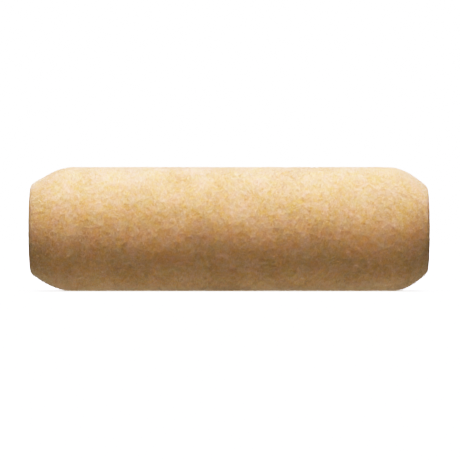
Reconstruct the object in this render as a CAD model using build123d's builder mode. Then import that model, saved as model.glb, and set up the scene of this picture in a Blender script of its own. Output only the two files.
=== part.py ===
from build123d import *
import os
from math import pi, sqrt

# A nine-inch paint roller cover: a spirally wound paper core with a knitted pile fabric glued round it.
# The cover lies along X, with its origin on the bore's axis midway between the ends, and +Z up.
# Each layer of the wall is its own solid. The wound layers keep the open helical seam of their strip.
# All sizes are in millimetres.

# Trade sizes of the cover
LENGTH = 228.6
BORE_DIAMETER = 38.1
OUTER_DIAMETER = 71.8

# Radial build of the wall, from the bore outwards
PLY_THICKNESS = 0.5
PLY_NAMES = ("core_inner_ply", "core_middle_ply", "core_outer_ply")
ADHESIVE_THICKNESS = 0.25
COATING_THICKNESS = 0.25
GROUND_THICKNESS = 0.8

# Widths of the strips, and of the gap left where the edges of one winding meet
PAPER_STRIP_WIDTH = 63.5
FABRIC_STRIP_WIDTH = 73.0
PAPER_SEAM_GAP = 0.3
FABRIC_SEAM_GAP = 0.5

# Ends of the pile: how far in each bevel starts, and the radius that it is trimmed down to
LEFT_BEVEL = 17.3
LEFT_END_RADIUS = 26.0
RIGHT_BEVEL = 14.2
RIGHT_END_RADIUS = 25.2
SHOULDER_ROUNDING = 21.0
RIM_ROUNDING = 1.7

# How far the tool that opens a seam stands out of the strip, on each side
SEAM_TOOL_OVERLAP = 0.5

HALF_LENGTH = LENGTH / 2
BORE_RADIUS = BORE_DIAMETER / 2
OUTER_RADIUS = OUTER_DIAMETER / 2
CORE_RADIUS = BORE_RADIUS + len(PLY_NAMES) * PLY_THICKNESS
ADHESIVE_RADIUS = CORE_RADIUS + ADHESIVE_THICKNESS
COATING_RADIUS = ADHESIVE_RADIUS + COATING_THICKNESS
GROUND_RADIUS = COATING_RADIUS + GROUND_THICKNESS


def tube_layer(inner_radius, thickness):
    """A plain tube over the cover's whole length."""
    with BuildPart() as layer:
        with BuildSketch(Plane.YZ.offset(-HALF_LENGTH)):
            Circle(inner_radius + thickness)
            Circle(inner_radius, mode=Mode.SUBTRACT)
        extrude(amount=LENGTH)
    return layer.part


def wound_layer(inner_radius, thickness, strip_width, seam_gap, seam_shift=0.0):
    """A tube wound from one strip, with the helical seam open right through it.

    seam_shift is the share of a turn by which the seam is moved back along the axis.
    """
    middle_radius = inner_radius + thickness / 2
    girth = 2 * pi * middle_radius
    pitch = strip_width / sqrt(1 - (strip_width / girth) ** 2)
    axial_gap = seam_gap * pitch / strip_width
    start = -HALF_LENGTH - (1 + seam_shift) * pitch
    end = HALF_LENGTH + pitch
    axis = Vector(1, 0, 0)
    with BuildPart() as layer:
        add(tube_layer(inner_radius, thickness))
        with BuildLine():
            seam = Helix(
                pitch=pitch,
                height=end - start,
                radius=middle_radius,
                center=axis * start,
                direction=axis,
            )
        outwards = seam @ 0 - axis * start
        with BuildSketch(Plane(origin=seam @ 0, x_dir=outwards, z_dir=outwards.cross(axis))):
            Rectangle(thickness + 2 * SEAM_TOOL_OVERLAP, axial_gap)
        sweep(path=seam, normal=axis, mode=Mode.SUBTRACT)
    return layer.part


def pile_layer():
    """The standing pile as one solid, from the knitted ground out to its sheared surface."""
    with BuildPart() as layer:
        with BuildSketch(Plane.XZ) as profile:
            with BuildLine():
                Polyline(
                    (-HALF_LENGTH, GROUND_RADIUS),
                    (-HALF_LENGTH, LEFT_END_RADIUS),
                    (-HALF_LENGTH + LEFT_BEVEL, OUTER_RADIUS),
                    (HALF_LENGTH - RIGHT_BEVEL, OUTER_RADIUS),
                    (HALF_LENGTH, RIGHT_END_RADIUS),
                    (HALF_LENGTH, GROUND_RADIUS),
                    close=True,
                )
            make_face()
            corners = profile.vertices().sort_by(Axis.Y)
            fillet(corners[-2:], radius=SHOULDER_ROUNDING)
            fillet(corners[2:-2], radius=RIM_ROUNDING)
        revolve(axis=Axis.X)
    return layer.part


def write_step(name, piece):
    """Label one finished piece and write it as a node of its own."""
    piece.label = name
    export_step(piece, f"parts/{name}.step")


os.makedirs("parts", exist_ok=True)

for ply_number, ply_name in enumerate(PLY_NAMES):
    ply = wound_layer(
        BORE_RADIUS + ply_number * PLY_THICKNESS,
        PLY_THICKNESS,
        PAPER_STRIP_WIDTH,
        PAPER_SEAM_GAP,
        ply_number / len(PLY_NAMES),
    )
    write_step(ply_name, ply)

adhesive = tube_layer(CORE_RADIUS, ADHESIVE_THICKNESS)
write_step("adhesive_film", adhesive)

coating = wound_layer(ADHESIVE_RADIUS, COATING_THICKNESS, FABRIC_STRIP_WIDTH, FABRIC_SEAM_GAP)
write_step("fabric_back_coating", coating)

ground = wound_layer(COATING_RADIUS, GROUND_THICKNESS, FABRIC_STRIP_WIDTH, FABRIC_SEAM_GAP)
write_step("knitted_ground", ground)

write_step("nap", pile_layer())
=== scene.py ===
import math

import bpy
import numpy as np
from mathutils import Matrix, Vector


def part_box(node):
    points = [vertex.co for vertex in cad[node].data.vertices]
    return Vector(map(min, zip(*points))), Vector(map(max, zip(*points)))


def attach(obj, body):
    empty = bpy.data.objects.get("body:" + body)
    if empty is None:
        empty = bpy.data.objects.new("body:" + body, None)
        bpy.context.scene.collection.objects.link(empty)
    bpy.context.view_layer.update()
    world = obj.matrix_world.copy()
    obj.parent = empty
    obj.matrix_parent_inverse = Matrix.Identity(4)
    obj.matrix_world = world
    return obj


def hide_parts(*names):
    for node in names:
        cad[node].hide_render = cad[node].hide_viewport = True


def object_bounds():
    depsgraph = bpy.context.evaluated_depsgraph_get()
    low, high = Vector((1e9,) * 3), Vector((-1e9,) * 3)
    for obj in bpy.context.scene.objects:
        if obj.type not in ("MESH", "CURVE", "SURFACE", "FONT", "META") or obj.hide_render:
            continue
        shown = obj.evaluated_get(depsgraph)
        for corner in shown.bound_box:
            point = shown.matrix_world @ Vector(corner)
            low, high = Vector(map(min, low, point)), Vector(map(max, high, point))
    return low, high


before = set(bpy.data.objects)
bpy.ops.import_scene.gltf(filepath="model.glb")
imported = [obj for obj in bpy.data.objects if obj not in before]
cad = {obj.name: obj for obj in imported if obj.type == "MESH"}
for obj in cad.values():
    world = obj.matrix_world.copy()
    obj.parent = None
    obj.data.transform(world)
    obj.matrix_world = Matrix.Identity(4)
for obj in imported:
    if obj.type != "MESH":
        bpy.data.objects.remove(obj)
cad_low, cad_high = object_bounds()

MM = 0.001
SEED = 11

# ---------------------------------------------------------------------------------------------
# Sizes: the outer ones come from the frame, the strips repeat the CAD model's, and the bevels
# follow the same outline a little more closely than the CAD model's do
# ---------------------------------------------------------------------------------------------
HALF_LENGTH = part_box("nap")[1].x
PILE_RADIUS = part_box("nap")[1].z
GROUND_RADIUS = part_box("knitted_ground")[1].z
COATING_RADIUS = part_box("fabric_back_coating")[1].z
PLY_RADII = [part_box(f"core_{place}_ply")[1].z for place in ("inner", "middle", "outer")]
PLY_THICKNESS = PLY_RADII[1] - PLY_RADII[0]

# Ends of the pile: the radius that each is trimmed down to, how far in its bevel starts, and how
# much deeper the shears cut at the top than at the sides, at the end and at the bevel's start
LEFT_END = (26.2 * MM, 16.7 * MM, 0.1 * MM, 0.45 * MM)
RIGHT_END = (25.5 * MM, 13.9 * MM, 0.45 * MM, 0.9 * MM)
SHOULDER_RUN = 7.5 * MM
RIM_ROUNDING = 2.1 * MM

PAPER_STRIP_WIDTH = 63.5 * MM
FABRIC_STRIP_WIDTH = 73.0 * MM
FABRIC_SEAM_GAP = 0.5 * MM

# Shape of a fibre. Its middle is where it is thickest, and is measured back from the tip. There it is
# bent out of line at random, and arches outwards. All three are shares of the fibre's length. The
# overhang is how far any fibre may stand past the cover's ends
FIBRE_LENGTH = 3.2 * MM
FIBRE_LENGTH_SPREAD = (0.7, 1.25)
FIBRE_HALF_WIDTH = 0.065 * MM
FIBRE_WIDTH_SPREAD = (0.7, 1.3)
FIBRE_BEND = 0.14
FIBRE_MIDDLE = 0.45
FIBRE_ARCH = 0.05
END_OVERHANG = 0.3 * MM

# Loose fibres of the sheared surface. A lean is the slope of a fibre away from upright: one part of
# it is each fibre's own, one is shared by a small lock and one by a wide brushed area
FIBRE_COUNT = 300_000
FIBRE_PIECES = 12
LEAN_ALONG = 0.16
LEAN_ROUND = 0.5
LOCK_SIZE = 1.0 * MM
LOCK_LEAN = 0.2
LOCK_RELIEF = 0.05 * MM
BRUSHED_SIZE = 14.0 * MM
BRUSHED_LEAN = 0.22
TUFT_SIZE = 5.0 * MM
TUFT_RELIEF = 0.05 * MM
TIP_SCATTER = 0.2 * MM
TIP_LIFT = 0.15 * MM

# Near the ends the fibres lean out towards them, and over the bevels they follow the slope
END_ZONE = 25.0 * MM
END_LEAN = 0.35
SLOPE_LEAN = 0.6
SLOPE_STEP = 0.5 * MM
STEEPEST_SLOPE = 1.0

# Shading: how far a fibre faces the way of the surface rather than its own, the size of the fluff
# that the surface is ruffled into, and how far the fluff turns the way that it faces
PILE_SOFTNESS = 0.7
RIM_SOFTNESS = 0.5
FLUFF_SIZE = 0.45 * MM
FLUFF_TURN = 0.35

# Fibres that stand in the two cut ends, crowded towards the end planes
RIM_FIBRE_COUNT = 16_000
RIM_DEPTH = 1.2 * MM
RIM_CROWDING = 1.5
RIM_LOCK_SIZE = 2.0 * MM
RIM_LOCK_LEAN = 0.15
RIM_LEAN_ROUND = 0.25
RIM_LEAN_OUT = 0.06
RIM_TIP_SCATTER = 0.5 * MM
RIM_LENGTH_SPREAD = (0.85, 1.05)
RIM_FACING_UP = 0.4

# Undercoat: the matted fibre that the loose tips stand out of, with the size and height of its lumps
UNDERCOAT_DEPTH = 1.0 * MM
UNDERCOAT_SETBACK = 0.6 * MM
UNDERCOAT_ROUND = 400
UNDERCOAT_ALONG = 216
UNDERCOAT_LUMPS = ((3.0 * MM, 0.08 * MM), (7.0 * MM, 0.06 * MM))

# Knit of the ground fabric: the spacing of its ribs, and how far they stand out. Past the cut ends
# the strip is squashed flat onto the end planes, and faces narrower than a sliver are dropped
KNIT_STEP = 1.0 * MM
KNIT_RELIEF = 0.1 * MM
CUT_SLIVER = 0.02 * MM


# ---------------------------------------------------------------------------------------------
# The shape of the pile
# ---------------------------------------------------------------------------------------------
def smooth_min(a, b, blend):
    """The lesser of two values, rounded off where they cross."""
    near = np.maximum(blend - np.abs(a - b), 0) / blend
    return np.minimum(a, b) - near * near * blend / 4


def pile_radius(x, angle):
    """The sheared surface's radius at x along the axis and an angle round it, pi / 2 at the top."""
    radius = PILE_RADIUS
    for depth, end in ((HALF_LENGTH + x, LEFT_END), (HALF_LENGTH - x, RIGHT_END)):
        end_radius, bevel_length, end_tilt, shoulder_tilt = end
        share = depth / bevel_length
        tilt = end_tilt + (shoulder_tilt - end_tilt) * share
        bevel = end_radius + (PILE_RADIUS - end_radius) * share - tilt * np.sin(angle)
        blend = SHOULDER_RUN * (PILE_RADIUS - end_radius) / bevel_length
        radius = smooth_min(bevel, radius, blend)
    past_rim = np.clip((np.abs(x) - HALF_LENGTH + RIM_ROUNDING) / RIM_ROUNDING, 0, 1)
    return radius - RIM_ROUNDING * (1 - np.sqrt(1 - past_rim * past_rim))


class SmoothField:
    """A smooth random value over the cover, the same each run, in patches of about the given size.

    It is a sum of waves round an average of zero, with a spread of one.
    """

    WAVES = 40
    RADIANS_PER_PATCH = 2.2

    def __init__(self, seed, patch):
        rng = np.random.default_rng(seed)
        density = self.RADIANS_PER_PATCH / patch
        self.axial = rng.normal(0, density, self.WAVES)
        self.round = np.rint(rng.normal(0, density * PILE_RADIUS, self.WAVES))
        self.phase = rng.uniform(0, 2 * math.pi, self.WAVES)

    def __call__(self, x, angle):
        total = np.zeros(np.broadcast(x, angle).shape)
        for axial, around, phase in zip(self.axial, self.round, self.phase):
            total += np.cos(axial * x + around * angle + phase)
        return total * math.sqrt(2 / self.WAVES)


def to_space(x, radius, angle):
    """Points from x, radius and angle."""
    return np.stack([x, radius * np.cos(angle), radius * np.sin(angle)], axis=-1)


def unit(vectors):
    """The vectors scaled to a length of one."""
    return vectors / np.maximum(np.linalg.norm(vectors, axis=-1, keepdims=True), 1e-12)


def ways_at(angle):
    """Unit vectors outwards, along the axis and round it, at each angle."""
    outward = to_space(np.zeros(len(angle)), 1.0, angle)
    along = np.tile([1.0, 0.0, 0.0], (len(angle), 1))
    return outward, along, np.cross(outward, along)


def new_mesh_object(name, points, faces, face_size):
    """A mesh object from arrays, with faces that all have face_size corners."""
    mesh = bpy.data.meshes.new(name)
    mesh.vertices.add(len(points))
    mesh.vertices.foreach_set("co", np.ascontiguousarray(points, np.float32).ravel())
    mesh.loops.add(faces.size)
    mesh.loops.foreach_set("vertex_index", np.ascontiguousarray(faces, np.int32).ravel())
    mesh.polygons.add(len(faces))
    mesh.polygons.foreach_set("loop_start", np.arange(len(faces), dtype=np.int32) * face_size)
    mesh.update(calc_edges=True)
    mesh.shade_smooth()
    piece = bpy.data.objects.new(name, mesh)
    bpy.context.scene.collection.objects.link(piece)
    return piece


def add_point_value(mesh, name, kind, values):
    """Stores a value for every vertex, for the material to read."""
    layer = mesh.attributes.new(name, kind, "POINT")
    key = "vector" if kind == "FLOAT_VECTOR" else "value"
    layer.data.foreach_set(key, np.ascontiguousarray(values, np.float32).ravel())


def add_bake_layout(mesh, places):
    """The flat layout that the material can be baked into."""
    layer = mesh.uv_layers.new(name="OFBake")
    layer.data.foreach_set("uv", np.ascontiguousarray(places, np.float32).ravel())


# ---------------------------------------------------------------------------------------------
# Fibres
# ---------------------------------------------------------------------------------------------
def spread_evenly(count):
    """Two values for each of count points, spread from 0 to 1 with no two points close together."""
    plastic_number = 1.32471795724
    turn = np.arange(count)
    return (0.5 + turn / plastic_number) % 1, (0.5 + turn / plastic_number**2) % 1


def spread_tips(count, rings=2000):
    """x and angle of count points spread over the sheared surface, in order along the axis.

    The surface is measured as a stack of that many rings, so that each part of it gets its share.
    """
    x = np.linspace(-HALF_LENGTH, HALF_LENGTH, rings)
    radius = pile_radius(x, 0.0)
    ring_area = np.hypot(np.diff(x), np.diff(radius)) * (radius[1:] + radius[:-1])
    share = np.concatenate([[0], np.cumsum(ring_area)]) / ring_area.sum()
    across, around = spread_evenly(count)
    order = np.argsort(across, kind="stable")
    return np.interp(across, share, x)[order], 2 * math.pi * around[order]


def surface_fibres(rng):
    """Tips, directions, lengths and facing ways of the fibres that make the sheared surface."""
    x, angle = spread_tips(FIBRE_COUNT)
    outward, along, around = ways_at(angle)
    rise = pile_radius(x + SLOPE_STEP, angle) - pile_radius(x - SLOPE_STEP, angle)
    slope = np.clip(rise / (2 * SLOPE_STEP), -STEEPEST_SLOPE, STEEPEST_SLOPE)
    end_pull = np.clip((np.abs(x) - HALF_LENGTH + END_ZONE) / END_ZONE, 0, 1) ** 2
    lean = END_LEAN * end_pull * np.sign(x) - SLOPE_LEAN * slope
    standing = unit(outward + lean[:, None] * along)

    direction = standing
    facing = standing
    for seed, way, scatter in ((SEED + 10, along, LEAN_ALONG), (SEED + 20, around, LEAN_ROUND)):
        brushed = BRUSHED_LEAN * SmoothField(seed, BRUSHED_SIZE)(x, angle)
        locked = LOCK_LEAN * SmoothField(seed + 1, LOCK_SIZE)(x, angle)
        lean = brushed + locked + rng.normal(0, scatter, len(x))
        direction = direction + lean[:, None] * way
        turn = FLUFF_TURN * SmoothField(seed + 2, FLUFF_SIZE)(x, angle)
        facing = facing + turn[:, None] * way
    direction = unit(direction)

    tuft = SmoothField(SEED + 3, TUFT_SIZE)(x, angle) * TUFT_RELIEF
    lock = SmoothField(SEED + 4, LOCK_SIZE)(x, angle) * LOCK_RELIEF
    height = rng.normal(0, TIP_SCATTER, len(x)) + tuft + lock + TIP_LIFT
    tips = to_space(x, pile_radius(x, angle), angle) + standing * height[:, None]
    length = FIBRE_LENGTH * rng.uniform(*FIBRE_LENGTH_SPREAD, len(x))
    return tips, direction, length, unit(facing)


def rim_fibres(rng, side):
    """The same for the fibres in the cut end on one side, which show their whole length."""
    behind, around_share = spread_evenly(RIM_FIBRE_COUNT)
    x = side * (HALF_LENGTH - behind**RIM_CROWDING * RIM_DEPTH)
    angle = 2 * math.pi * around_share
    outward, along, around = ways_at(angle)
    locks = SmoothField(SEED + 7, RIM_LOCK_SIZE)(0.0, angle)
    lean_round = RIM_LOCK_LEAN * locks + rng.normal(0, RIM_LEAN_ROUND, len(x))
    lean_along = side * rng.normal(RIM_LEAN_OUT, RIM_LEAN_OUT, len(x))
    direction = unit(outward + lean_round[:, None] * around + lean_along[:, None] * along)
    tip_radius = pile_radius(x, angle) - np.abs(rng.normal(0, RIM_TIP_SCATTER, len(x)))
    tips = to_space(x, tip_radius, angle)
    length = (tip_radius - GROUND_RADIUS) * rng.uniform(*RIM_LENGTH_SPREAD, len(x))
    facing = unit(RIM_FACING_UP * outward + side * along)
    return tips, direction, length, facing


# Corners of the spindle's six faces: 0 is the root, 1 to 3 are the ring at the middle, 4 is the tip
SPINDLE_RING = 3
SPINDLE_FACES = np.array([[0, 2, 1], [0, 3, 2], [0, 1, 3], [4, 1, 2], [4, 2, 3], [4, 3, 1]])


def make_fibre_piece(name, rng, tips, direction, length, facing, softness):
    """One piece of many fibres, each a closed bent spindle of three sides."""
    count = len(tips)
    roots = tips - direction * length[:, None]
    bend = rng.normal(0, FIBRE_BEND, (count, 3)) * length[:, None]
    middles = tips - direction * (FIBRE_MIDDLE * length)[:, None] + bend
    middles = middles + facing * (FIBRE_ARCH * length)[:, None]
    side = unit(np.cross(direction, rng.normal(0, 1, (count, 3))))
    other = np.cross(direction, side)
    half_width = FIBRE_HALF_WIDTH * rng.uniform(*FIBRE_WIDTH_SPREAD, count)
    ring = []
    for corner in range(SPINDLE_RING):
        turn = 2 * math.pi * corner / SPINDLE_RING
        spoke = math.cos(turn) * side + math.sin(turn) * other
        ring.append(middles + spoke * half_width[:, None])
    points = np.stack([roots, *ring, tips], axis=1)
    keep_clear(points)

    corners = points.shape[1]
    faces = (SPINDLE_FACES[None] + corners * np.arange(count)[:, None, None]).reshape(-1, 3)
    piece = new_mesh_object(name, points.reshape(-1, 3), faces, 3)
    soften_normals(piece.data, np.repeat(facing, corners, axis=0), softness)
    for value_name in ("strand", "other_strand", "shade"):
        values = np.repeat(rng.uniform(0, 1, count), corners)
        add_point_value(piece.data, value_name, "FLOAT", values)
    rise = [0.0, *[1 - FIBRE_MIDDLE] * SPINDLE_RING, 1.0]
    add_point_value(piece.data, "rise", "FLOAT", np.tile(rise, count))
    add_point_value(piece.data, "seat", "FLOAT_VECTOR", np.repeat(tips, corners, axis=0))
    add_bake_layout(piece.data, fibre_cells(count))
    return piece


def keep_clear(points):
    """Keeps fibres outside the knitted ground, and from standing far out of the end planes."""
    reach = HALF_LENGTH + END_OVERHANG
    points[:, :, 0] = np.clip(points[:, :, 0], -reach, reach)
    spread = np.hypot(points[:, :, 1], points[:, :, 2])
    points[:, :, 1:] *= (np.maximum(spread, GROUND_RADIUS + KNIT_RELIEF) / spread)[:, :, None]


def soften_normals(mesh, facing, softness):
    """Turns the fibres' own normals towards the way the pile faces, so that it shades softly."""
    own = np.empty(len(mesh.vertices) * 3, np.float32)
    mesh.vertex_normals.foreach_get("vector", own)
    mixed = unit(own.reshape(-1, 3) * (1 - softness) + facing * softness)
    mesh.normals_split_custom_set_from_vertices(mixed)


def fibre_cells(count, margin=0.12):
    """A small cell of the bake's sheet for every fibre, with a margin left free round its faces."""
    cells = math.ceil(math.sqrt(count))
    number = np.arange(count)
    corner = np.stack([number % cells, number // cells], axis=-1)
    root, tip = (0.5, margin), (0.5, 1 - margin)
    left, right = (margin, 0.5), (1 - margin, 0.5)
    pattern = np.array([root, right, left] * SPINDLE_RING + [tip, left, right] * SPINDLE_RING)
    return (corner[:, None, :] + pattern[None]) / cells


def make_surface_pieces():
    """The fibres of the sheared surface, in a few pieces along the axis."""
    rng = np.random.default_rng(SEED)
    surface = surface_fibres(rng)
    pieces = []
    for number, chosen in enumerate(np.array_split(np.arange(FIBRE_COUNT), FIBRE_PIECES), start=1):
        values = [array[chosen] for array in surface]
        pieces.append(make_fibre_piece(f"nap_fibres_{number}", rng, *values, PILE_SOFTNESS))
    return pieces


def make_rim_pieces():
    """The fibres that stand in the two cut ends."""
    rng = np.random.default_rng(SEED + 1)
    pieces = []
    for name, side in (("nap_left_rim", -1), ("nap_right_rim", 1)):
        pieces.append(make_fibre_piece(name, rng, *rim_fibres(rng, side), RIM_SOFTNESS))
    return pieces


# ---------------------------------------------------------------------------------------------
# Undercoat
# ---------------------------------------------------------------------------------------------
def make_undercoat():
    """The matted body of the pile: a closed, lumpy ring of fibre, just under the tips."""
    reach = HALF_LENGTH - UNDERCOAT_SETBACK
    x = np.linspace(-reach, reach, UNDERCOAT_ALONG)
    angle = np.linspace(0, 2 * math.pi, UNDERCOAT_ROUND, endpoint=False)
    grid_x, grid_angle = np.meshgrid(x, angle, indexing="ij")
    outer = pile_radius(grid_x, grid_angle) - UNDERCOAT_DEPTH
    for seed, (size, height) in enumerate(UNDERCOAT_LUMPS, start=SEED + 5):
        outer += SmoothField(seed, size)(grid_x, grid_angle) * height
    inner = np.full((1, UNDERCOAT_ROUND), GROUND_RADIUS + KNIT_RELIEF)
    all_x = np.concatenate([grid_x[:1], grid_x, grid_x[-1:]])
    all_radius = np.concatenate([inner, outer, inner])
    all_angle = np.concatenate([grid_angle[:1], grid_angle, grid_angle[-1:]])
    points = to_space(all_x, all_radius, all_angle).reshape(-1, 3)
    rows, columns = all_x.shape
    row, column = np.meshgrid(np.arange(rows), np.arange(columns), indexing="ij")
    ahead = (row + 1) % rows
    beside = (column + 1) % columns
    corners = ((row, column), (ahead, column), (ahead, beside), (row, beside))
    faces = np.stack([down * columns + across for down, across in corners], axis=-1)
    piece = new_mesh_object("nap_undercoat", points, faces.reshape(-1, 4), 4)
    add_point_value(piece.data, "seat", "FLOAT_VECTOR", points)
    u = np.stack([column, column, column + 1, column + 1], axis=-1) / columns
    v = np.stack([row, row + 1, row + 1, row], axis=-1) / rows
    add_bake_layout(piece.data, np.stack([u, v], axis=-1))
    return piece


# ---------------------------------------------------------------------------------------------
# Ground fabric
# ---------------------------------------------------------------------------------------------
def pitch_of(strip_width, radius):
    """How far along the axis one turn of a strip goes, wound edge to edge at a radius."""
    return strip_width / math.sqrt(1 - (strip_width / (2 * math.pi * radius)) ** 2)


def make_ground_fabric():
    """The knitted strip, wound edge to edge, ribbed by its stitches and cut square at both ends."""
    radius = (COATING_RADIUS + GROUND_RADIUS) / 2
    thickness = GROUND_RADIUS - COATING_RADIUS
    pitch = pitch_of(FABRIC_STRIP_WIDTH, radius)
    gap = FABRIC_SEAM_GAP * pitch / FABRIC_STRIP_WIDTH
    turns = 2 * HALF_LENGTH / pitch + 1
    rows = round(turns * 2 * math.pi * radius / KNIT_STEP)
    columns = round(pitch / KNIT_STEP)
    turn = np.linspace(0, turns, rows)[:, None]
    across = np.linspace(gap / 2, pitch - gap / 2, columns)[None, :]
    x = -HALF_LENGTH - pitch + turn * pitch + across
    angle = np.broadcast_to(2 * math.pi * turn + math.pi / 2, x.shape)
    row, column = np.meshgrid(np.arange(rows), np.arange(columns), indexing="ij")
    rib = KNIT_RELIEF * 0.5 * ((row + column) % 2 - 0.5)
    points = to_space(np.clip(x, -HALF_LENGTH, HALF_LENGTH), radius + rib, angle)

    corner = (row * columns + column)[:-1, :-1].ravel()
    faces = np.stack([corner, corner + 1, corner + columns + 1, corner + columns], axis=-1)
    flat_x = points[:, :, 0].ravel()[faces]
    inside = flat_x.max(axis=1) - flat_x.min(axis=1) > CUT_SLIVER
    piece = new_mesh_object("ground_fabric", points.reshape(-1, 3), faces[inside], 4)
    thick = piece.modifiers.new("thickness", "SOLIDIFY")
    thick.thickness = thickness - KNIT_RELIEF
    thick.offset = 0
    return piece


# ---------------------------------------------------------------------------------------------
# Materials
# ---------------------------------------------------------------------------------------------
class NodeTree:
    """A short way to write a material's nodes."""

    def __init__(self, name):
        self.material = bpy.data.materials.new(name)
        self.material.use_nodes = True
        self.tree = self.material.node_tree
        self.shader = self.tree.nodes["Principled BSDF"]

    def node(self, kind, **settings):
        made = self.tree.nodes.new(kind)
        for key, value in settings.items():
            setattr(made, key, value)
        return made

    def join(self, source, target):
        self.tree.links.new(source, target)

    def feed(self, socket, value):
        """Gives a socket a number, a colour or another node's output."""
        if isinstance(value, (int, float)):
            socket.default_value = value
        elif isinstance(value, tuple):
            socket.default_value = (*value, 1.0)
        else:
            self.join(value, socket)

    def set(self, node, **values):
        for key, value in values.items():
            node.inputs[key.replace("_", " ")].default_value = value
        return node

    def attribute(self, name, output="Fac"):
        return self.node("ShaderNodeAttribute", attribute_name=name).outputs[output]

    def place(self):
        return self.node("ShaderNodeTexCoord").outputs["Object"]

    def split(self, vector):
        made = self.node("ShaderNodeSeparateXYZ")
        self.join(vector, made.inputs[0])
        return made.outputs["X"], made.outputs["Y"], made.outputs["Z"]

    def merge(self, x, y, z=0.0):
        made = self.node("ShaderNodeCombineXYZ")
        for socket, value in zip(made.inputs, (x, y, z)):
            self.feed(socket, value)
        return made.outputs["Vector"]

    def noise(self, vector, size, detail=2.0, roughness=0.5):
        """Noise with blobs of about size metres."""
        made = self.node("ShaderNodeTexNoise")
        self.set(made, Scale=1 / size, Detail=detail, Roughness=roughness)
        self.join(vector, made.inputs["Vector"])
        return made.outputs["Fac"]

    def calc(self, operation, first, second=0.0):
        made = self.node("ShaderNodeMath", operation=operation)
        self.feed(made.inputs[0], first)
        self.feed(made.inputs[1], second)
        return made.outputs["Value"]

    def blend(self, *parts):
        """The sum of (value, weight) pairs; a value of 1.0 adds its weight as it stands."""
        total = 0.0
        for value, weight in parts:
            total = self.calc("ADD", total, self.calc("MULTIPLY", value, weight))
        return total

    def ramp(self, factor, *stops):
        """A colour ramp through (place, colour) stops; a colour may be one grey value."""
        made = self.node("ShaderNodeValToRGB")
        elements = made.color_ramp.elements
        while len(elements) < len(stops):
            elements.new(0.5)
        for element, (place, colour) in zip(elements, stops):
            rgb = colour if isinstance(colour, tuple) else (colour, colour, colour)
            element.position = place
            element.color = (*rgb, 1.0)
        self.join(factor, made.inputs["Fac"])
        return made.outputs["Color"]

    def mix(self, factor, first, second, blend="MIX"):
        """A mix of two colours.

        The node has sockets of the same names for each kind of value, so those for colours are
        found by their numbers.
        """
        made = self.node("ShaderNodeMix", data_type="RGBA", blend_type=blend)
        for index, value in ((0, factor), (6, first), (7, second)):
            self.feed(made.inputs[index], value)
        return made.outputs[2]

    def times(self, first, second):
        """Two colours multiplied."""
        return self.mix(1.0, first, second, "MULTIPLY")

    def complete(self, colour, roughness):
        """Gives the shader its colour and roughness, and returns the material."""
        self.join(colour, self.shader.inputs["Base Color"])
        self.join(roughness, self.shader.inputs["Roughness"])
        return self.material

    def bump(self, height, strength, distance):
        made = self.set(self.node("ShaderNodeBump"), Strength=strength, Distance=distance)
        self.join(height, made.inputs["Height"])
        self.join(made.outputs["Normal"], self.shader.inputs["Normal"])


# In the materials below, the places on a ramp run from 0 to 1, and the weights in a blend say how
# much of each source shows

# The dyed fibres that the yarn is spun from: each one lies between gold and cream, and is tinted
# a little towards olive or towards rose
GOLD = (0.776, 0.437, 0.142)
CREAM = (0.816, 0.518, 0.323)
OLIVE_TINT = (0.92, 0.994, 0.89)
ROSE_TINT = (1.02, 0.926, 0.985)
DYE_PATCH = 12.0 * MM
DYE_FLECK = 2.8 * MM
TINT_PATCH = 7.0 * MM

# The tints' noise is taken from this far away, in metres, so that it doesn't follow the dyes' noise
TINT_SHIFT = 0.5

# What darkens the fibres: painted shade at the cut ends and at their roots deep in the pile, and a
# fine grain that is shorter along the cover than round it
END_PAINTED_SHADE = (0.82, 0.81, 0.74)
END_PAINTED_SHADE_FROM, END_PAINTED_SHADE_TO = 0.86, 0.98
ROOT_PAINTED_SHADE = (0.75, 0.70, 0.62)
GRAIN_SHADE = (0.84, 0.82, 0.80)
GRAIN_SIZE = 0.9 * MM
GRAIN_SHORTENING = 1.6
SHEEN_TINT = (1.0, 0.95, 0.88, 1.0)

# The matted fibre between the loose ones, with painted shade, deep in its hollows and light on its
# lumps
MATTED_SIZE = 0.5 * MM
MATTED_HOLLOW_PAINTED_SHADE = (0.62, 0.55, 0.46)
MATTED_LUMP_PAINTED_SHADE = (0.92, 0.88, 0.82)


def heather_colour(nodes, seat, strand, other_strand):
    """The heathered colour of the pile: each fibre has one dye, and like dyes gather in patches.

    Towards the cut ends the pile is darker and warmer, as in the photo: this is painted shade.
    """
    patches = nodes.noise(seat, DYE_PATCH, detail=1.0)
    flecks = nodes.noise(seat, DYE_FLECK, detail=1.0)
    paleness = nodes.blend((patches, 1.2), (flecks, 2.3), (strand, 0.1), (1.0, -1.3))
    dye = nodes.ramp(paleness, (0.0, GOLD), (1.0, CREAM))
    x, y, z = nodes.split(seat)
    elsewhere = nodes.merge(nodes.calc("ADD", x, TINT_SHIFT), y, z)
    tint_patches = nodes.noise(elsewhere, TINT_PATCH, detail=3.0)
    rosiness = nodes.blend((tint_patches, 2.2), (other_strand, 0.6), (1.0, -0.9))
    tint = nodes.ramp(rosiness, (0.0, OLIVE_TINT), (1.0, ROSE_TINT))
    # Painted shade: the pile is darker and warmer towards the cut ends
    to_end = nodes.calc("DIVIDE", nodes.calc("ABSOLUTE", x), HALF_LENGTH)
    painted_end_shade = nodes.ramp(to_end, (END_PAINTED_SHADE_FROM, 1.0), (END_PAINTED_SHADE_TO, END_PAINTED_SHADE))
    return nodes.times(nodes.times(dye, painted_end_shade), tint)


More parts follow.
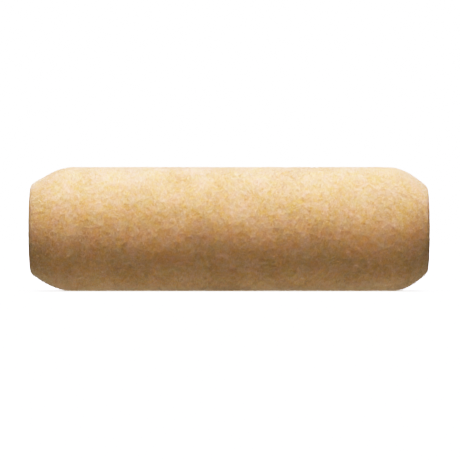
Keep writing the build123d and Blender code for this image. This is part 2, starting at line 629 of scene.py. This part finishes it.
def fibre_material(name, sheen):
    """Fibre with a soft satin sheen, and painted shade that makes it darker and warmer at its root,
    where little light reaches.
    """
    nodes = NodeTree(name)
    strand = nodes.attribute("strand")
    seat = nodes.attribute("seat", "Vector")
    colour = heather_colour(nodes, seat, strand, nodes.attribute("other_strand"))
    # Painted shade: darker and warmer towards each fibre's root, deep in the pile
    depth = nodes.ramp(nodes.attribute("rise"), (0.0, ROOT_PAINTED_SHADE), (0.9, 1.0))
    x, y, z = nodes.split(nodes.place())
    shortened = nodes.merge(nodes.calc("MULTIPLY", x, GRAIN_SHORTENING), y, z)
    grain = nodes.noise(shortened, GRAIN_SIZE, detail=3.0)
    lightness = nodes.blend((nodes.attribute("shade"), 0.6), (grain, 2.8), (1.0, -1.2))
    shade = nodes.ramp(lightness, (0.0, GRAIN_SHADE), (1.0, 1.0))
    nodes.set(nodes.shader, Sheen_Weight=sheen, Sheen_Roughness=0.5, Sheen_Tint=SHEEN_TINT)
    nodes.set(nodes.shader, Specular_IOR_Level=0.3)
    roughness = nodes.blend((strand, 0.2), (1.0, 0.5))
    return nodes.complete(nodes.times(nodes.times(colour, depth), shade), roughness)


def undercoat_material():
    """Matted fibre, seen between the loose tips, with painted shade in its hollows."""
    nodes = NodeTree("pile_undercoat")
    seat = nodes.attribute("seat", "Vector")
    fine = nodes.noise(seat, MATTED_SIZE, detail=4.0, roughness=0.7)
    colour = heather_colour(nodes, seat, fine, fine)
    # Painted shade: the matted fibre is darker in its hollows and lighter on its lumps
    depth = nodes.ramp(fine, (0.3, MATTED_HOLLOW_PAINTED_SHADE), (0.75, MATTED_LUMP_PAINTED_SHADE))
    nodes.set(nodes.shader, Sheen_Weight=0.2, Specular_IOR_Level=0.2)
    nodes.bump(fine, strength=0.3, distance=0.2 * MM)
    return nodes.complete(nodes.times(colour, depth), nodes.blend((fine, 0.2), (1.0, 0.7)))


def winding(nodes, strip_width, radius, shift):
    """Places on a wound tube: along the strip, across it, and how far it is to the nearest seam.

    A seam with no shift passes the top of the cover at its left end, a quarter of a turn past where
    angles start. Half a turn is added to put the seam in the middle of each whole turn.
    """
    pitch = pitch_of(strip_width, radius)
    lie = math.atan2(pitch, 2 * math.pi * radius)
    x, y, z = nodes.split(nodes.place())
    angle = nodes.calc("ARCTAN2", z, y)
    around = nodes.calc("MULTIPLY", angle, radius)
    along = nodes.blend((around, math.cos(lie)), (x, math.sin(lie)))
    across = nodes.blend((x, math.cos(lie)), (around, -math.sin(lie)))
    start = HALF_LENGTH / pitch + shift + 0.25
    turns = nodes.blend((x, 1 / pitch), (angle, -1 / (2 * math.pi)), (1.0, start + 0.5))
    part_turn = nodes.calc("FLOORED_MODULO", turns, 1.0)
    to_seam = nodes.calc("ABSOLUTE", nodes.calc("SUBTRACT", part_turn, 0.5))
    return along, across, nodes.calc("MULTIPLY", to_seam, pitch)


# Marks in the kraft board: pulp fibres and specks, which are longer along the strip than across it,
# clouds of paler and darker pulp, and the line that the glue leaves on each side of a seam
PULP_SIZE, PULP_SQUEEZE = 0.5 * MM, 0.3
SPECK_SIZE, SPECK_SQUEEZE = 0.9 * MM, 0.5
CLOUD_SIZE = 9.0 * MM
SEAM_REACH = 2.0 * MM
BLACK = (0.0, 0.0, 0.0)


def board_material(name, dark, light, radius, shift):
    """Resin-soaked kraft board: pulp fibres that lie along the strip, specks, and a glued seam."""
    nodes = NodeTree(name)
    along, across, to_seam = winding(nodes, PAPER_STRIP_WIDTH, radius, shift)
    pulp_place = nodes.merge(nodes.calc("MULTIPLY", along, PULP_SQUEEZE), across)
    pulp = nodes.noise(pulp_place, PULP_SIZE, detail=5.0, roughness=0.65)
    speck_place = nodes.merge(nodes.calc("MULTIPLY", along, SPECK_SQUEEZE), across, 0.3)
    speck = nodes.noise(speck_place, SPECK_SIZE, detail=1.0)
    cloud = nodes.noise(nodes.merge(along, across), CLOUD_SIZE, detail=3.0)
    colour = nodes.mix(nodes.ramp(pulp, (0.3, 0.0), (0.7, 1.0)), dark, light)
    colour = nodes.mix(nodes.ramp(speck, (0.66, 0.0), (0.74, 0.7)), colour, dark)
    colour = nodes.mix(nodes.ramp(cloud, (0.3, 1.0), (0.7, 0.8)), BLACK, colour)
    reach = nodes.calc("DIVIDE", to_seam, SEAM_REACH)
    seam = nodes.ramp(reach, (0.1, 0.45), (0.3, 0.85), (0.9, 1.0))
    nodes.set(nodes.shader, Specular_IOR_Level=0.2)
    nodes.bump(nodes.blend((pulp, 0.6), (seam, 0.8)), strength=0.5, distance=0.12 * MM)
    roughness = nodes.blend((pulp, 0.2), (cloud, 0.3), (1.0, 0.5))
    return nodes.complete(nodes.times(colour, seam), roughness)


def mottled_material(name, dark, light, size, roughness, relief):
    """An uneven layer: glue or dried latex."""
    nodes = NodeTree(name)
    mottle = nodes.noise(nodes.place(), size, detail=4.0, roughness=0.6)
    colour = nodes.mix(nodes.ramp(mottle, (0.3, 0.0), (0.7, 1.0)), dark, light)
    nodes.bump(mottle, strength=0.6, distance=relief)
    return nodes.complete(colour, nodes.blend((mottle, 0.2), (1.0, roughness)))


# Yarn of the ground fabric, with painted shade between its stitches and its colour on them, and the
# size of its fuzz
YARN_HOLLOW_PAINTED_SHADE = (0.40, 0.24, 0.11)
YARN_CROWN = (0.76, 0.56, 0.34)
YARN_SIZE = 0.3 * MM


def knit_material():
    """Tightly knitted ground yarn: rows of stitches along the strip, in the pile's own colours, with
    painted shade between the stitches.
    """
    nodes = NodeTree("ground_knit")
    radius = (COATING_RADIUS + GROUND_RADIUS) / 2
    along, across, _ = winding(nodes, FABRIC_STRIP_WIDTH, radius, 0.0)
    density = math.pi / KNIT_STEP
    courses = nodes.calc("SINE", nodes.calc("MULTIPLY", along, density))
    wales = nodes.calc("SINE", nodes.calc("MULTIPLY", across, density))
    stitch = nodes.blend((nodes.calc("MULTIPLY", courses, wales), 0.5), (1.0, 0.5))
    yarn = nodes.noise(nodes.place(), YARN_SIZE, detail=4.0, roughness=0.7)
    height = nodes.blend((stitch, 0.7), (yarn, 0.3))
    # Painted shade: the yarn is darker in the hollows between the stitches
    colour = nodes.ramp(height, (0.15, YARN_HOLLOW_PAINTED_SHADE), (0.7, YARN_CROWN))
    nodes.bump(height, strength=0.7, distance=0.3 * MM)
    return nodes.complete(colour, nodes.blend((yarn, 0.2), (1.0, 0.7)))


def dress(piece, material):
    """Gives a piece one material in place of any that it has."""
    piece.data.materials.clear()
    piece.data.materials.append(material)


# ---------------------------------------------------------------------------------------------
# The object
# ---------------------------------------------------------------------------------------------
undercoat = make_undercoat()
dress(undercoat, undercoat_material())
surface_pieces = make_surface_pieces()
sheared_look = fibre_material("pile_fibre", sheen=0.85)
for piece in surface_pieces:
    dress(piece, sheared_look)
rim_pieces = make_rim_pieces()
cut_look = fibre_material("cut_pile_fibre", sheen=0.3)
for piece in rim_pieces:
    dress(piece, cut_look)
nap_pieces = [undercoat, *surface_pieces, *rim_pieces]
for piece in nap_pieces:
    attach(piece, "root")
    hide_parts("nap")

ground = make_ground_fabric()
dress(ground, knit_material())
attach(ground, "root")
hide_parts("knitted_ground")

# The CAD solids that show as they are. Each ply of board has a dark and a light shade of its own
BOARD_SHADES = {
    "core_inner_ply": ((0.46, 0.31, 0.19), (0.68, 0.51, 0.34)),
    "core_middle_ply": ((0.52, 0.37, 0.24), (0.74, 0.58, 0.40)),
    "core_outer_ply": ((0.42, 0.28, 0.16), (0.64, 0.47, 0.30)),
}
for number, (ply, (dark, light)) in enumerate(BOARD_SHADES.items()):
    middle = PLY_RADII[number] - PLY_THICKNESS / 2
    dress(cad[ply], board_material(f"board_{ply}", dark, light, middle, number / len(BOARD_SHADES)))
set_glue = mottled_material(
    "set_glue",
    dark=(0.42, 0.27, 0.10),
    light=(0.66, 0.48, 0.24),
    size=2.0 * MM,
    roughness=0.2,
    relief=0.1 * MM,
)
dress(cad["adhesive_film"], set_glue)
dried_latex = mottled_material(
    "latex_back",
    dark=(0.60, 0.50, 0.36),
    light=(0.78, 0.69, 0.53),
    size=1.2 * MM,
    roughness=0.6,
    relief=0.1 * MM,
)
dress(cad["fabric_back_coating"], dried_latex)

# ---------------------------------------------------------------------------------------------
# Floor, light, camera and film
# ---------------------------------------------------------------------------------------------
# Each softbox is far away: its height above the horizon, its turn round the object from the camera's
# side and its width, all in degrees, its strength in watts per square metre, and its colour
WHITE = (1.0, 1.0, 1.0)
COOL = (1.0, 0.95, 1.12)
FLOOR_BOUNCE = (1.02, 1.04, 0.88)
SOFTBOXES = {
    "key": (62.0, -4.0, 30.0, 3.8, WHITE),
    "fill": (48.0, 0.0, 30.0, 0.85, WHITE),
    "top": (90.0, 0.0, 60.0, 7.3, COOL),
    "back": (60.0, 180.0, 60.0, 1.7, WHITE),
    "front_bounce": (-70.0, 0.0, 60.0, 1.08, FLOOR_BOUNCE),
    "back_bounce": (-70.0, 180.0, 60.0, 1.1, FLOOR_BOUNCE),
    "left": (10.0, -90.0, 60.0, 0.2, WHITE),
    "right": (10.0, 90.0, 60.0, 0.2, WHITE),
}

# Strength of the even light from all round, and the floor's half side in metres and its glow
AMBIENT = 0.1
FLOOR_HALF = 6.0
FLOOR_GLOW = 1.0

# The camera looks level at the cover's side, from a hair right of its middle and below it. The lens
# is in millimetres, and the sight is how far the camera sees
LENS = 250.0
CAMERA_DISTANCE = 1.844
CAMERA_RIGHT = 0.5 * MM
CAMERA_DOWN = 0.65 * MM
CAMERA_SIGHT = 50.0

# The film: a contrasty toe up to the knee, then rolling off softly to white. The levels are where
# the curve gets its points
FILM_KNEE = 0.3
FILM_CONTRAST = 1.1
FILM_WHITE = 4.0
FILM_LEVELS = (0.05, 0.1, 0.2, FILM_KNEE, 0.42, 0.56, 0.75, 1.0, 1.35, 1.8, 2.3, 3.0)

# Number of the curve for all colours together, after those for red, green and blue
ALL_COLOURS = 3


def make_floor():
    """A pale floor under the cover, which the camera sees but which lights and shades nothing."""
    corners = np.array([(-1, -1, 0), (1, -1, 0), (1, 1, 0), (-1, 1, 0)], float) * FLOOR_HALF
    corners[:, 2] = cad_low.z
    floor = new_mesh_object("floor", corners, np.array([[0, 1, 2, 3]]), 4)
    nodes = NodeTree("floor_white")
    nodes.set(nodes.shader, Base_Color=(0.9, 0.9, 0.9, 1.0), Roughness=0.9)
    nodes.set(nodes.shader, Emission_Color=(*WHITE, 1.0), Emission_Strength=FLOOR_GLOW)
    dress(floor, nodes.material)
    floor.visible_diffuse = False
    floor.visible_glossy = False
    floor.visible_shadow = False


def make_softboxes():
    """The studio's softboxes, as broad suns."""
    for name, (height, turn, width, strength, colour) in SOFTBOXES.items():
        data = bpy.data.lights.new(name, "SUN")
        data.energy = strength
        data.color = colour
        data.angle = math.radians(width)
        softbox = bpy.data.objects.new(name, data)
        softbox.rotation_euler = (math.radians(90 - height), 0.0, math.radians(turn))
        bpy.context.scene.collection.objects.link(softbox)


def make_world():
    """A weak even light, and a white backdrop that only the camera sees."""
    world = bpy.data.worlds.new("studio")
    bpy.context.scene.world = world
    world.use_nodes = True
    tree = world.node_tree
    ambient = tree.nodes["Background"]
    backdrop = tree.nodes.new("ShaderNodeBackground")
    for background, strength in ((ambient, AMBIENT), (backdrop, FILM_WHITE)):
        background.inputs["Color"].default_value = (*WHITE, 1.0)
        background.inputs["Strength"].default_value = strength
    path = tree.nodes.new("ShaderNodeLightPath")
    choose = tree.nodes.new("ShaderNodeMixShader")
    tree.links.new(path.outputs["Is Camera Ray"], choose.inputs["Fac"])
    tree.links.new(ambient.outputs[0], choose.inputs[1])
    tree.links.new(backdrop.outputs[0], choose.inputs[2])
    tree.links.new(choose.outputs[0], tree.nodes["World Output"].inputs["Surface"])


def make_camera():
    """The camera of the photo's view."""
    data = bpy.data.cameras.new("camera")
    data.lens = LENS
    data.clip_end = CAMERA_SIGHT
    camera = bpy.data.objects.new("camera", data)
    bpy.context.scene.collection.objects.link(camera)
    camera.location = (CAMERA_RIGHT, -CAMERA_DISTANCE, -CAMERA_DOWN)
    camera.rotation_euler.x = math.radians(90)
    bpy.context.scene.camera = camera


def choose_film():
    """The curve from the light that falls on the film to how bright it comes out."""
    settings = bpy.context.scene.view_settings
    settings.view_transform = "Standard"
    settings.use_curve_mapping = True
    mapping = settings.curve_mapping
    mapping.use_clip = False
    mapping.clip_max_x = FILM_WHITE
    curve = mapping.curves[ALL_COLOURS]
    curve.points[1].location = (FILM_WHITE, 1.0)
    for level in FILM_LEVELS:
        toe = FILM_KNEE * (min(level, FILM_KNEE) / FILM_KNEE) ** FILM_CONTRAST
        past_knee = FILM_CONTRAST * max(level - FILM_KNEE, 0.0) / (1 - FILM_KNEE)
        curve.points.new(level, toe + (1 - FILM_KNEE) * (1 - math.exp(-past_knee)))
    mapping.update()


make_floor()
make_softboxes()
make_world()
make_camera()
choose_film()
